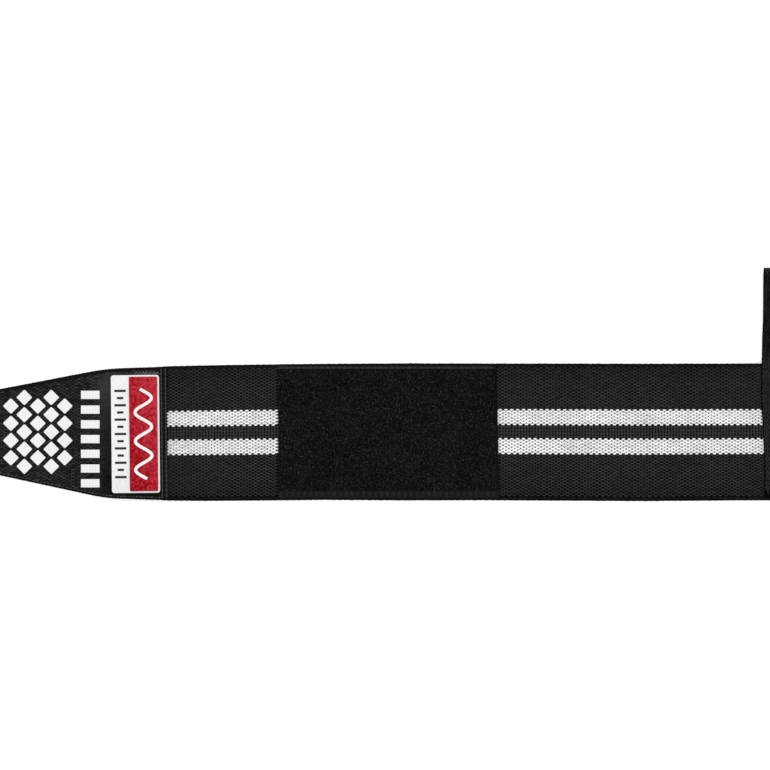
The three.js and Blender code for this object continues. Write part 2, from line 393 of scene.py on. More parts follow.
def shift(piece, x=0.0, y=0.0, z=0.0):
    write_points(piece, read_points(piece) + (x, y, z))
    return piece


def turned(x, y, angle):
    return x * np.cos(angle) - y * np.sin(angle), x * np.sin(angle) + y * np.cos(angle)


def turn(piece, degrees):
    """Turns a piece about Z, through the origin."""
    x, y, z = read_points(piece).T
    write_points(piece, np.column_stack([*turned(x, y, math.radians(degrees)), z]))
    return piece


def mirror_across(piece):
    """Swaps the two sides of a piece, and turns its faces to look outwards again."""
    write_points(piece, read_points(piece) * (1, -1, 1))
    with editing(piece, "SELECT"):
        bpy.ops.mesh.flip_normals()
    return piece


def rows_of(one, name, *rows, place=(0, 0, 0)):
    """Copies of one model from a first place, in rows that are each a count and a step."""
    piece = shift(copy_of(one, name), *place)
    for count, step in rows:
        repeat(piece, count, step)
    return piece


def discard(*pieces):
    for piece in pieces:
        bpy.data.objects.remove(piece)


def join(pieces, name):
    select_only(*pieces)
    if len(pieces) > 1:
        bpy.ops.object.join()
    return named(pieces[0], name)


def copies_in(piece, one):
    """The points of a piece that is made of copies of one model, in a block for each copy."""
    return read_points(piece).reshape(-1, len(one.data.vertices), 3)


def keep_inside(piece, one, strip, margin):
    """Deletes the copies whose middle lies outside a strip, or within a margin of its sides."""
    x, y, _ = copies_in(piece, one).mean(axis=1).T
    gone = (y <= at(strip, x, "low") + margin) | (y >= at(strip, x, "high") - margin)
    with editing(piece, "DESELECT"):
        bpy.ops.mesh.select_mode(type="VERT")
    piece.data.vertices.foreach_set("select", np.repeat(gone, len(one.data.vertices)))
    with editing(piece):
        bpy.ops.mesh.delete(type="VERT")


def vary_copies(piece, one, lift=0.0, size=0.0, turn=0.0, wander=0.0):
    """Makes each copy a little its own: in height, size, turn and place, and with a shade to tint it by."""
    copies = copies_in(piece, one)
    count, each, _ = copies.shape
    middle = copies.mean(axis=1, keepdims=True)
    middle[:, :, 2] = 0
    offset = copies - middle
    offset[:, :, :2] *= 1 + size * random.uniform(-1, 1, (count, 1, 1))
    offset[:, :, 2] *= 1 + lift * random.uniform(-1, 1, (count, 1))
    angle = turn * random.uniform(-1, 1, (count, 1))
    offset[:, :, 0], offset[:, :, 1] = turned(offset[:, :, 0], offset[:, :, 1], angle)
    middle[:, :, :2] += wander * random.uniform(-1, 1, (count, 1, 2))
    write_points(piece, (middle + offset).reshape(-1, 3))
    remember(piece, "shade", np.repeat(random.uniform(-1, 1, count), each))


def reshade(piece, change):
    """Changes the shade of each point of a piece, through a function."""
    kept = piece.data.attributes["shade"].data
    shade = np.empty(len(kept), np.float32)
    kept.foreach_get("value", shade)
    kept.foreach_set("value", change(shade).astype(np.float32))


print("helpers ready")

# %% [markdown]
# Three effects are used by several finishes, so each is a node group that is built once. Fibres are the fine
# streaks that run along a yarn. Plain weave is the over and under of a fine cloth, as a height and as a mask
# of the crossings. Dye gives the slow drift of tone over a length of cloth and a few specks of lint.

# %% Helpers: groups of nodes
def new_group(name, inputs, outputs):
    """A node group with a vector input Place, named number inputs and named number outputs."""
    group = bpy.data.node_groups.new(name, "ShaderNodeTree")
    group.interface.new_socket("Place", in_out="INPUT", socket_type="NodeSocketVector")
    for title, value in inputs.items():
        socket = group.interface.new_socket(title, in_out="INPUT", socket_type="NodeSocketFloat")
        socket.default_value = value
    for title in outputs:
        group.interface.new_socket(title, in_out="OUTPUT", socket_type="NodeSocketFloat")
    return group, group.nodes.new("NodeGroupInput").outputs, group.nodes.new("NodeGroupOutput")


def use_group(tree, group, **values):
    return add(tree, "ShaderNodeGroup", values, node_tree=group).outputs


def noise(tree, place, scale, detail):
    """Cloudy noise, as a mask from nought to one and as a tone from minus one to one."""
    inputs = {"Vector": place, "Scale": scale, "Detail": detail}
    mask = add(tree, "ShaderNodeTexNoise", inputs).outputs["Fac"]
    return mask, calculate(tree, "MULTIPLY_ADD", mask, 2.0, -1.0)


# %% Node group: fibres
def fibres_group():
    """Streaks along a yarn. Run and Cross are how many streaks fit in a metre each way."""
    group, given, out = new_group("fibres", {"Run": 250.0, "Cross": 9000.0}, ["Tone", "Height"])
    scale = add(group, "ShaderNodeCombineXYZ", {"X": given["Run"], "Y": given["Cross"], "Z": given["Cross"]})
    place = add(group, "ShaderNodeVectorMath", {0: given["Place"], 1: scale.outputs[0]}, operation="MULTIPLY")
    height, tone = noise(group, place.outputs[0], 1.0, 3.0)
    fill(group, out, {"Tone": tone, "Height": height})
    return group


fibres = fibres_group()


# %% Node group: plain weave
def plain_weave_group():
    """The over and under of fine threads. Along and Across are the threads in a metre each way."""
    group, given, out = new_group("plain_weave", {"Along": 1600.0, "Across": 1600.0}, ["Height", "Over"])
    parts = add(group, "ShaderNodeSeparateXYZ", {0: given["Place"]}).outputs
    waves = []
    for axis, threads in (("X", "Along"), ("Y", "Across")):
        turns = calculate(group, "MULTIPLY", parts[axis], given[threads])
        waves.append(calculate(group, "SINE", calculate(group, "MULTIPLY", turns, math.pi)))
    over = calculate(group, "MULTIPLY_ADD", calculate(group, "MULTIPLY", *waves), 0.5, 0.5)
    under = calculate(group, "SUBTRACT", 1.0, over)
    warp = calculate(group, "MULTIPLY", calculate(group, "ABSOLUTE", waves[1]), over)
    weft = calculate(group, "MULTIPLY", calculate(group, "ABSOLUTE", waves[0]), under)
    fill(group, out, {"Height": calculate(group, "MAXIMUM", warp, weft), "Over": over})
    return group


plain_weave = plain_weave_group()


# %% Node group: dye and lint
def dye_group():
    """Tone drifts slowly over the cloth, from minus one to one. Lint is a mask of a few tiny specks."""
    speck_reach, rare = 0.05, 0.93
    group, given, out = new_group("dye", {"Drift": 45.0, "Lint": 260.0}, ["Tone", "Lint"])
    _, tone = noise(group, given["Place"], given["Drift"], 2.0)
    specks = add(group, "ShaderNodeTexVoronoi", {"Vector": given["Place"], "Scale": given["Lint"]}).outputs
    near = calculate(group, "LESS_THAN", specks["Distance"], speck_reach)
    pick = add(group, "ShaderNodeSeparateXYZ", {0: specks["Color"]}).outputs["X"]
    lint = calculate(group, "MULTIPLY", near, calculate(group, "GREATER_THAN", pick, rare))
    fill(group, out, {"Tone": tone, "Lint": lint})
    return group


dye = dye_group()
print("node groups:", [group.name for group in bpy.data.node_groups])


# %% Helpers: a finish from start to end
def attribute(tree, name, output):
    return add(tree, "ShaderNodeAttribute", attribute_name=name).outputs[output]


def start_finish(name, roughness, specular, sheen=0.0):
    """A material whose shader has its constant values set, with its nodes and the flat place on the cloth."""
    finish = bpy.data.materials.new(name)
    finish.use_nodes = True
    tree = finish.node_tree
    look = {"Roughness": roughness, "Specular IOR Level": specular, "Sheen Weight": sheen}
    fill(tree, tree.nodes["Principled BSDF"], look)
    return finish, tree, attribute(tree, "cloth", "Vector")


def end_finish(finish, colour, height, strength, distance):
    """Gives a material its colour, and its height as a bump."""
    tree = finish.node_tree
    bump = add(tree, "ShaderNodeBump", {"Height": height, "Strength": strength, "Distance": distance})
    fill(tree, tree.nodes["Principled BSDF"], {"Base Color": colour, "Normal": bump.outputs["Normal"]})
    return finish


def total(tree, start, *tones):
    """A number with tones added to it, each times its strength."""
    for tone, strength in tones:
        start = calculate(tree, "MULTIPLY_ADD", tone, strength, start)
    return start


def tinted(tree, colour, *tones):
    """A colour made brighter and darker by tones."""
    factor = calculate(tree, "MAXIMUM", total(tree, 1.0, *tones), 0.0)
    return add(tree, "ShaderNodeVectorMath", {0: colour[:3], 1: factor}, operation="MULTIPLY").outputs[0]


def mixed(tree, share, first, second):
    return add(tree, "ShaderNodeMix", {"Factor": share, 6: first, 7: second}, data_type="RGBA").outputs[2]


def grey(level, cool=1.04):
    """A grey, a little cooler than neutral as black dyed yarn is, or neutral for white cloth."""
    return (level, level, level * cool, 1.0)


# %% The finishes of yarn and of fine cloth
def yarn_finish(name, colour, specular, roughness=0.6, sheen=0.02, spread=0.18, cross=9000.0):
    """Yarn: fibres along it, each copy a little lighter or darker, and a slow drift of dye."""
    finish, tree, place = start_finish(name, roughness, specular, sheen)
    streaks = use_group(tree, fibres, Place=place, Cross=cross)
    dyed = use_group(tree, dye, Place=place)
    lint = 0.02 / max(colour[0], 0.02)
    tones = [(attribute(tree, "shade", "Fac"), spread), (streaks["Tone"], 0.35)]
    tones += [(dyed["Tone"], 0.25), (dyed["Lint"], lint)]
    return end_finish(finish, tinted(tree, colour, *tones), streaks["Height"], 0.35, 0.05 * mm)


def woven_finish(name, colour, along, across, specular=0.2, crown=0.35, relief=0.08 * mm):
    """Fine cloth: threads over and under each other, with a painted highlight on their crowns, and a drift of
    dye.
    """
    finish, tree, place = start_finish(name, 0.75, specular, 0.02)
    weave = use_group(tree, plain_weave, Place=place, Along=along, Across=across)
    streaks = use_group(tree, fibres, Place=place, Run=600.0, Cross=2500.0)
    # The crowns of the threads are painted lighter, a painted highlight.
    lit = calculate(tree, "SUBTRACT", weave["Height"], 0.6)
    tones = [(lit, crown), (streaks["Tone"], 0.25), (use_group(tree, dye, Place=place)["Tone"], 0.15)]
    return end_finish(finish, tinted(tree, colour, *tones), weave["Height"], 0.6, relief)


# %% [markdown]
# The elastic band. The real web is woven on a narrow loom: rubber threads run along it, and polyester yarns
# cover them in short floats that step like bricks. It could be one displaced sheet, but a sheet fine enough
# to hold 80 rows of yarn is far heavier than the yarns themselves. So the band is a plain rounded core, which
# shows only in the pinholes, and the yarns are small floats laid over both of its faces.

# %% The rows of the weave
band_width = 76 * mm
yarn_pitch = 3.27 * mm
row_pitch = 0.9 * mm
middle_rows = 8
stripe_rows = 10
field_rows = 26
stripes_off_middle = 0.2 * mm

lower_stripe_from = stripes_off_middle - (middle_rows / 2 + stripe_rows) * row_pitch
upper_stripe_from = stripes_off_middle + middle_rows / 2 * row_pitch
lower_field_from = lower_stripe_from - field_rows * row_pitch
upper_field_from = upper_stripe_from + stripe_rows * row_pitch
print("stripes in mm:", round(lower_stripe_from / mm, 1), "and", round(upper_stripe_from / mm, 1))


# %% The band's core and its finish
def core_finish():
    """What shows in the pinholes: dark rubber and weft, and the shaded backs of the white yarns."""
    finish, tree, place = start_finish("web_core", 0.9, 0.0)
    parts = add(tree, "ShaderNodeSeparateXYZ", {0: place}).outputs
    inset = 0.9 * row_pitch
    dark_ends = 0.3 * mm
    white = 0.0
    for low in (lower_stripe_from, upper_stripe_from):
        past = calculate(tree, "GREATER_THAN", parts["Y"], low + inset)
        short = calculate(tree, "LESS_THAN", parts["Y"], low + stripe_rows * row_pitch - inset)
        white = calculate(tree, "MULTIPLY_ADD", past, short, white)
    middle_x = (band["x"][0] + band["x"][-1]) / 2
    off_ends = calculate(tree, "COMPARE", parts["X"], middle_x, band["x"][-1] - middle_x - dark_ends)
    white = calculate(tree, "MULTIPLY", white, off_ends)
    streaks = use_group(tree, fibres, Place=place, Run=600.0, Cross=4000.0)
    dark = tinted(tree, grey(0.0015), (streaks["Tone"], 0.5))
    pale = tinted(tree, grey(0.085, cool=1.0), (streaks["Tone"], 0.4))
    return end_finish(finish, mixed(tree, white, dark, pale), streaks["Height"], 0.4, 0.1 * mm)


edge_turn = 0.06 * mm
under_height = 0.22 * mm
band_thick = float(band["top"][0] - band["base"][0])
core_places = np.linspace(band["x"][0], band["x"][-1], 177)
core_width = band_width - 2 * edge_turn
web_core = cloth_strip("web_core", core_places, core_width, band_thick - under_height, halvings=1)
shift(web_core, z=under_height)
lay_on(web_core, band, "own", flat_width=band_width)
finish_piece(web_core, core_finish())
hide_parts("elastic_band")


# %% One float of yarn, and rows of it
def yarn_float(name, length, width, height, around=8, along=4):
    """Half of a slim ball whose two poles are its ends: a float of yarn, cut off underneath.

    The cut keeps points within 0.1 mm of it, so a thin float keeps an open sliver below, hidden in the cloth.
    """
    size = (2 * height, width, length)
    bpy.ops.mesh.primitive_uv_sphere_add(
        segments=around, ring_count=along, radius=0.5, rotation=(0, math.pi / 2, 0), scale=size
    )
    piece = added(name)
    with editing(piece, "SELECT"):
        bpy.ops.mesh.bisect(plane_co=(0, 0, 0), plane_no=(0, 0, 1), use_fill=True, clear_inner=True)
    return piece


def yarn_rows(name, one, x_from, x_to, across_from, rows, pitch=yarn_pitch, row=row_pitch):
    """Rows of floats that step like bricks, from a place across the cloth."""
    along = (int((x_to - x_from) / pitch), (pitch, 0, 0))
    pair = (2, (yarn_pitch / 2, row, 0))
    across = (rows // 2, (0, 2 * row, 0))
    return rows_of(one, name, along, pair, across, place=(x_from + pitch / 2, across_from + row / 2, 0))


black_float = yarn_float("black_float", 2.5 * mm, 1.0 * mm, 0.24 * mm)
white_float = yarn_float("white_float", 2.75 * mm, 1.02 * mm, 0.27 * mm, along=6)
under_float = yarn_float("under_float", 2.8 * mm, 0.98 * mm, under_height, around=4)
print("points in a float:", len(black_float.data.vertices), len(white_float.data.vertices))

# %% Yarns on the outer face
patch_low, patch_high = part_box("loop_patch")
tape_low, tape_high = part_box("thumb_loop")
tucked = 2 * mm
spans = [(seam_x - 1.2 * mm, patch_low.x + tucked), (patch_high.x - 3 * mm, tape_low.x + tucked)]
scallop_share = (0.74, 0.92)
places_across = (4 * mm, 5 * mm, 27 * mm, 33 * mm, 38 * mm)
tones_across = (0.2, 0.0, 0.0, -1.25, -1.6)


def scallop(piece, one, across_from, rows):
    """Draws in the floats of the first and the last row, so that a stripe's edges are round bumps."""
    copies = copies_in(piece, one)
    middle = copies.mean(axis=1, keepdims=True)
    row = (middle[:, 0, 1] - across_from) / row_pitch
    edge = (row < 1) | (row > rows - 1)
    copies[edge, :, :2] = middle[edge, :, :2] + (copies[edge, :, :2] - middle[edge, :, :2]) * scallop_share
    write_points(piece, copies.reshape(-1, 3))


def outer_yarns(name, one, bands_of_rows, finish, slot, scalloped=False, **rows_apart):
    """Rows of floats on both stretches of the outer face, darker towards the band's two edges."""
    parts = [
        yarn_rows(name, one, *span, across_from, rows, **rows_apart)
        for span in spans
        for across_from, rows in bands_of_rows
    ]
    piece = join(parts, name)
    vary_copies(piece, one, lift=0.1, size=0.03, turn=0.03, wander=0.05 * mm)
    if scalloped:
        scallop(piece, one, *bands_of_rows[0])
    off_middle = np.abs(read_points(piece)[:, 1])
    reshade(piece, lambda shade: shade + np.interp(off_middle, places_across, tones_across))
    lay_on(piece, band, "top", flat_width=band_width)
    return finish_yarns(piece, finish)


black_yarn = yarn_finish("black_yarn", grey(0.0165), 0.12, spread=0.22)
white_yarn = yarn_finish("white_yarn", grey(0.69, cool=1.0), 0.1, spread=0.07)
lower_half = stripes_off_middle - middle_rows / 2 * row_pitch
black_fields = [(lower_field_from, field_rows), (upper_field_from, field_rows)]
outer_black = outer_yarns("outer_black_yarns", black_float, black_fields, black_yarn, "elastic_black")
upper_stripe, lower_stripe = [
    outer_yarns(name, white_float, [(across_from, stripe_rows)], white_yarn, "elastic_white", scalloped=True)
    for name, across_from in (
        ("upper_stripe_yarns", upper_stripe_from),
        ("lower_stripe_yarns", lower_stripe_from),
    )
]

# %% [markdown]
# Between the stripes the yarns stand the other way, as fine ribs across the band at half the pitch.

# %% The ribs between the stripes
rib_float = turn(yarn_float("rib_float", 2.1 * mm, 1.5 * mm, 0.2 * mm), 90)
middle_ribs = outer_yarns(
    "middle_rib_yarns", rib_float, [(lower_half, middle_rows // 2)], black_yarn, "elastic_black",
    pitch=yarn_pitch / 2, row=2 * row_pitch,
)

# %% [markdown]
# The underside has the same rows, seen from behind, so its floats are plainer. They stop a little past the
# hook panel's end and the tape's edge, which hide the rest.

# %% Yarns on the underside
under_span = (seam_x - 2.6 * mm, tape_low.x + 3 * mm)


def under_yarns(name, bands_of_rows, finish):
    parts = [yarn_rows(name, under_float, *under_span, *rows) for rows in bands_of_rows]
    piece = join(parts, name)
    vary_copies(piece, under_float, size=0.03, turn=0.03)
    shift(mirror_across(piece), z=-under_height)
    lay_on(piece, band, "under", flat_width=band_width)
    return finish_yarns(piece, finish)


under_fields = [*black_fields, (lower_half, middle_rows)]
under_stripes = [(lower_stripe_from, stripe_rows), (upper_stripe_from, stripe_rows)]
under_black = under_yarns("under_black_yarns", under_fields, black_yarn)
under_white = under_yarns("under_white_yarns", under_stripes, white_yarn)

# %% [markdown]
# At both edges of a woven band the weft turns round and goes back, so the selvedge is a row of small smooth
# loops over the edge. One loop is a half ring, spun from a short flat ellipse, and an array repeats it.

# %% Selvedge turns
def spun(name, sides, turned_by, size, off_axis, steps, degrees, axis):
    """A polygon of a size, set off an axis through the origin and spun about it into a closed body."""
    bpy.ops.mesh.primitive_circle_add(vertices=sides, radius=0.5, fill_type="NGON", rotation=turned_by)
    piece = added(name)
    write_points(piece, read_points(piece) * size + off_axis)
    with editing(piece, "SELECT"):
        bpy.ops.mesh.spin(steps=steps, angle=math.radians(degrees), center=(0, 0, 0), axis=axis)
        bpy.ops.mesh.select_all(action="SELECT")
        bpy.ops.mesh.normals_make_consistent(inside=False)
    return piece


def half_ring(name, reach, rise, wide, thick, sides=6, steps=8):
    """A half ring about X that bulges towards +Y: a flat thread laid over an edge."""
    upright_circle = (math.pi / 2, 0, 0)
    piece = spun(name, sides, upright_circle, (wide, 1, thick), (0, 0, rise), steps, 180, (1, 0, 0))
    write_points(piece, read_points(piece) * (1, reach / rise, 1))
    return piece


turn_thick = 0.42 * mm
turn_lift = 0.12 * mm
turn_rise = band_thick / 2 + turn_lift - turn_thick / 2
one_turn = half_ring("one_turn", 1.7 * mm, turn_rise, 4.5 * mm, turn_thick)
turn_low, turn_high = read_points(one_turn).min(0), read_points(one_turn).max(0)
print("one turn spans in mm:", (turn_low / mm).round(2), (turn_high / mm).round(2))

# %% Selvedge along both edges
turn_overhang = 0.28 * mm
turn_count = int((band["x"][-1] - band["x"][0]) / yarn_pitch)
turn_across = band_width / 2 - turn_high[1] + turn_overhang
first_turn = (band["x"][0] + yarn_pitch / 2, turn_across, band_thick / 2 + turn_lift)
turns_upper = rows_of(one_turn, "turns_upper", (turn_count, (yarn_pitch, 0, 0)), place=first_turn)
turns_lower = mirror_across(copy_of(turns_upper, "turns_lower"))
selvedge = join([turns_upper, turns_lower], "selvedge_turns")
vary_copies(selvedge, one_turn, size=0.015, wander=0.04 * mm)
lay_on(selvedge, band, "own", flat_width=band_width)
selvedge_yarn = yarn_finish("selvedge_yarn", grey(0.0035), 0.04, spread=0.4)
finish_yarns(selvedge, selvedge_yarn)

# %% [markdown]
# The closure tab. Its top ply is the same kind of web with a finer, flatter hand, cut to a taper. Its raw
# edge is bound by an overlock: dark threads whip over it, and a dark needle thread runs just inside. Along
# the lower edge its short stitches are painted pale, a painted highlight, so they blur into a soft pale line.
# Its square end is folded under and sewn down.

# %% The tab's cloth
def refined(places, step):
    """The same places, with more between them wherever two lie further apart than a step."""
    parts = [
        np.linspace(a, b, int(np.ceil((b - a) / step)) + 1)[:-1] for a, b in zip(places[:-1], places[1:])
    ]
    return np.concatenate([*parts, places[-1:]])


label_low, label_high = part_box("label_frame")
label_lean = 0.6
hem_from = seam_x - 3.7 * mm
tab_width = float((tab["high"] - tab["low"]).max())
tab_thick = float(tab["top"][0] - tab["base"][0])
tab_inset = 0.05 * mm
lean_from, lean_over = seam_x - 10 * mm, 5 * mm


def lean_seam(piece):
    """Leans what lies close to the seam, which is sewn a little askew, as the label is."""
    points = read_points(piece)
    share = np.clip((points[:, 0] - lean_from) / lean_over, 0, 1)
    points[:, 0] -= math.tan(math.radians(label_lean)) * points[:, 1] * share
    write_points(piece, points)


seam_overhang = 0.3 * mm
tab_places = refined(tab["x"], 2.5 * mm)
tab_places[-1] += seam_overhang
tab_cloth = cloth_strip("tab_cloth_body", tab_places, tab_width - 2 * tab_inset, tab_thick)
round_ends(tab_cloth, 0.5 * mm, tab_places[-1])
lay_on(tab_cloth, tab, "own", flat_width=tab_width)
lean_seam(tab_cloth)
tab_finish = woven_finish("tab_cloth", grey(0.0025), 620.0, 1100.0, specular=0.05)
finish_piece(tab_cloth, tab_finish)
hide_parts("closure_tab")

# %% The tab's yarns
tab_rows = 82
bound_edge = 2.0 * mm
slope_from, slope_to = -165 * mm, -157 * mm
slope_flatten, slope_evens = 0.75, 0.85
slope_widen = (0.45, 0.25)
# Painted light on the slope: the yarns' shade is raised towards the upper side and lowered towards the lower,
# as the slope catches the light.
painted_light_places = [-30 * mm, -16 * mm, -3 * mm, 4 * mm, 10 * mm, 17 * mm, 24 * mm, 31 * mm]
slope_painted_light = [-1.3, -1.2, -1.0, -0.8, -0.56, -0.03, 0.72, 0.05]


def stretch_on_slope(piece, one):
    """Where the tab climbs over the band's end its yarns are long, flat and even, with a painted highlight
    towards the upper side and painted shade towards the lower.
    """
    copies = copies_in(piece, one)
    middle = copies.mean(axis=1)
    drawn = np.clip((middle[:, 0] - slope_from) / (slope_to - slope_from), 0, 1)
    copies[:, :, 2] *= 1 - slope_flatten * drawn[:, None]
    copies[:, :, :2] += (copies[:, :, :2] - middle[:, None, :2]) * slope_widen * drawn[:, None, None]
    write_points(piece, copies.reshape(-1, 3))
    each = copies.shape[1]
    evened = np.repeat(1 - slope_evens * drawn, each)
    # The painted highlight and painted shade across the slope, strongest where the tab climbs.
    glow = np.repeat(np.interp(middle[:, 1], painted_light_places, slope_painted_light) * drawn, each)
    reshade(piece, lambda shade: shade * evened + glow)


tab_float = yarn_float("tab_float", 2.6 * mm, 0.92 * mm, 0.22 * mm)
tab_yarns = yarn_rows("tab_yarns", tab_float, tip_x, hem_from, -tab_rows / 2 * row_pitch, tab_rows)
keep_inside(tab_yarns, tab_float, tab, bound_edge)
vary_copies(tab_yarns, tab_float, lift=0.15, size=0.03, turn=0.03, wander=0.06 * mm)
stretch_on_slope(tab_yarns, tab_float)
lay_on(tab_yarns, tab, "top")
tab_yarn = yarn_finish("tab_yarn", grey(0.0175), 0.04, spread=0.65)
finish_yarns(tab_yarns, tab_yarn)

# %% The overlock round the tab
tab_level = (tab["base"] + tab["top"]) / 2
lower_side = np.column_stack([tab["x"], tab["low"], tab_level])[::-1]
upper_side = np.column_stack([tab["x"], tab["high"], tab_level])
tab_outline = np.concatenate([lower_side, upper_side])
wrap_pitch = 1.9 * mm
wrap_slant = 0.7
wrap_thick = 0.3 * mm
wrap_past = 0.12 * mm

one_wrap = half_ring("one_wrap", 1.3 * mm, tab_thick / 2 - 0.02 * mm, 0.6 * mm, wrap_thick)
points = read_points(one_wrap)
inward = points[:, 1].max() - points[:, 1]
points[:, 0] += wrap_slant * inward * np.sign(points[:, 2])
points[:, 1] -= points[:, 1].max() - wrap_past
write_points(one_wrap, points)


def along_edge(name, one, pitch, share_from, share_to, finish):
    """A row of one piece of thread, between two shares of the tab's outline."""
    length = distances(tab_outline)[-1]
    row = (int((share_to - share_from) * length / pitch), (pitch, 0, 0))
    piece = rows_of(one, name, row, place=(share_from * length + pitch / 2, 0, 0))
    vary_copies(piece, one, size=0.05, turn=0.05, wander=0.1 * mm)
    lay_along(piece, tab_outline)
    return finish_yarns(piece, finish)


pale_thread = yarn_finish("pale_thread", grey(0.088), 0.2, spread=0.4, cross=6000.0)
# Needle stitches of the lower edge: dark thread painted pale, as a painted highlight.
needle_highlight_thread = yarn_finish("needle_highlight_thread", grey(0.04), 0.12, spread=0.55, cross=6000.0)
black_thread = yarn_finish("black_thread", grey(0.010), 0.2, roughness=0.5, spread=0.3, cross=6000.0)
dark_thread = yarn_finish("dark_thread", grey(0.0025), 0.06, spread=0.3, cross=6000.0)
overlock = along_edge("overlock_wraps", one_wrap, wrap_pitch, 0.003, 0.997, dark_thread)

# %% The needle stitches beside the overlock
needle_pitch = 2.1 * mm
needle_inside = 1.45 * mm
tip_share = 0.5
needle_slant = 12
one_needle = turn(yarn_float("one_needle", 1.9 * mm, 0.62 * mm, 0.26 * mm, along=6), needle_slant)
shift(one_needle, 0, -needle_inside, tab_thick / 2 - 0.04 * mm)
# The lower half of the outline gets the painted highlight, and the upper half keeps the dark thread.
needle_highlit = along_edge(
    "needle_stitches_lower", one_needle, needle_pitch, 0.012, tip_share, needle_highlight_thread
)
needle_black = along_edge(
    "needle_stitches_upper", one_needle, needle_pitch, tip_share, 0.988, dark_thread
)

# %% Stitches that hold the tab to the band
stitch_pitch = 2.7 * mm
seam_half = tab_width / 2 - 2.6 * mm
seam_count = int(2 * seam_half / stitch_pitch) + 1
seam_stitch = turn(yarn_float("seam_stitch", 2.1 * mm, 0.55 * mm, 0.2 * mm, along=6), 90)
seam_row = (seam_count, (0, 2 * seam_half / (seam_count - 1), 0))
seam_stitches = rows_of(seam_stitch, "seam_stitches", seam_row, place=(seam_x - 1.5 * mm, -seam_half, 0))
vary_copies(seam_stitches, seam_stitch, lift=0.1, size=0.06, turn=0.06, wander=0.05 * mm)
lay_on(seam_stitches, tab, "top")
lean_seam(seam_stitches)
finish_yarns(seam_stitches, dark_thread)

# %% [markdown]
# Above the label's red field a tight zigzag of grey thread blurs into a soft light band in the photograph. It
# is two rows of short slanting stitches that meet like a row of peaks.

# %% The zigzag above the label
zigzag_step = 1.0 * mm
zigzag_slant = 58
zigzag_from, zigzag_to = seam_x - 17.5 * mm, seam_x - 2.7 * mm
zigzag_y = label_high.y + 0.85 * mm
zigzag_count = int((zigzag_to - zigzag_from) / (2 * zigzag_step))
one_zigzag = yarn_float("one_zigzag", 2.0 * mm, 0.55 * mm, 0.22 * mm, along=6)
zigzag_rows = []
for row, slant in enumerate((zigzag_slant, -zigzag_slant)):
    stitches = turn(copy_of(one_zigzag, f"zigzag_{row}"), slant)
    shift(stitches, zigzag_from + row * zigzag_step, zigzag_y)
    repeat(stitches, zigzag_count, (2 * zigzag_step, 0, 0))
    zigzag_rows.append(stitches)
label_zigzag = join(zigzag_rows, "label_zigzag")
vary_copies(label_zigzag, one_zigzag, lift=0.1, size=0.06, turn=0.1, wander=0.06 * mm)
lay_on(label_zigzag, tab, "top")
finish_yarns(label_zigzag, pale_thread)

# %% [markdown]
# The folded hem stands up a little on both sides of its row of stitches, so two low ridges run across the
# band with a dark groove between them. Their cloth is painted lighter than the tab's, a painted highlight on
# the raised folds. The thread pulls the ridges in at each stitch.

# %% The hem's two ridges
def hem_ridge(name, x, wide, high):
    """A low round ridge across the tab, which swells between the stitches."""
    inside, sink, swell_by = 1.2 * mm, 0.08 * mm, 0.42
    half = tab_width / 2 - inside
    ridge = cloth_strip(name, np.linspace(-half, half, 113), wide, high, halvings=1, rounding=0.45)
    points = read_points(ridge)
    swell = 1 + swell_by * np.sin(points[:, 0] / stitch_pitch * 2 * math.pi)
    write_points(ridge, points * np.column_stack([np.ones(len(points)), swell, swell]))
    return shift(turn(ridge, 90), x, 0, -sink)


hem_outer = hem_ridge("hem_outer", seam_x - 0.45 * mm, 0.85 * mm, 0.36 * mm)
hem_inner = hem_ridge("hem_inner", seam_x - 2.77 * mm, 0.85 * mm, 0.34 * mm)
hem_ridges = join([hem_outer, hem_inner], "hem_ridges")
lay_on(hem_ridges, tab, "top", flat_width=tab_width)
lean_seam(hem_ridges)
# The ridges' cloth is painted lighter than the tab's: a painted highlight on the raised folds.
hem_highlight_cloth = woven_finish("hem_highlight_cloth", grey(0.027), 1100.0, 620.0, specular=0.1, crown=0.5)
finish_piece(hem_ridges, hem_highlight_cloth)

# %% [markdown]
# The print on the tab. The photograph shows a printed name there, which is not copied. A plain pattern of
# lozenges and a column of bars, in the same white ink, fill the same ground. The ink is a thin rubbery layer
# that lies over the yarns and lets their bricks show through as low relief.

# %% The printed pattern
def ink_finish():
    """White ink over a weave: the bricks show as relief, and the ink is thinner and greyer between them."""
    finish, tree, place = start_finish("white_ink", 0.6, 0.3)
    weave = use_group(tree, plain_weave, Place=place, Along=1 / (yarn_pitch / 2), Across=1 / row_pitch)
    thin = calculate(tree, "SUBTRACT", weave["Height"], 0.7)
    tones = [(thin, 0.16), (use_group(tree, dye, Place=place)["Tone"], 0.06)]
    return end_finish(finish, tinted(tree, grey(0.62, cool=1.0), *tones), weave["Height"], 0.4, 0.08 * mm)


ink_thick = 0.24 * mm
ink = ink_finish()
lozenge = (8.4 * mm, 8.3 * mm)
lozenge_step = (7.5 * mm, 9.6 * mm)
first_column_x = -209 * mm
columns = []
for column in range(5):
    rows_here = 4 if column % 2 == 0 else 5
    one = turn(cloth_plate(f"column_{column}", 1, 1, ink_thick, corner=0.09, edge=0.05 * mm), 45)
    half_diagonal = read_points(one)[:, 0].max()
    write_points(one, read_points(one) * (lozenge[0] / 2 / half_diagonal, lozenge[1] / 2 / half_diagonal, 1))
    shift(one, first_column_x + column * lozenge_step[0], -(rows_here - 1) / 2 * lozenge_step[1])
    repeat(one, rows_here, (0, lozenge_step[1], 0))
    columns.append(one)
printed_lozenges = join(columns, "printed_lozenges")
lay_on(printed_lozenges, tab, "top")
finish_piece(printed_lozenges, ink)

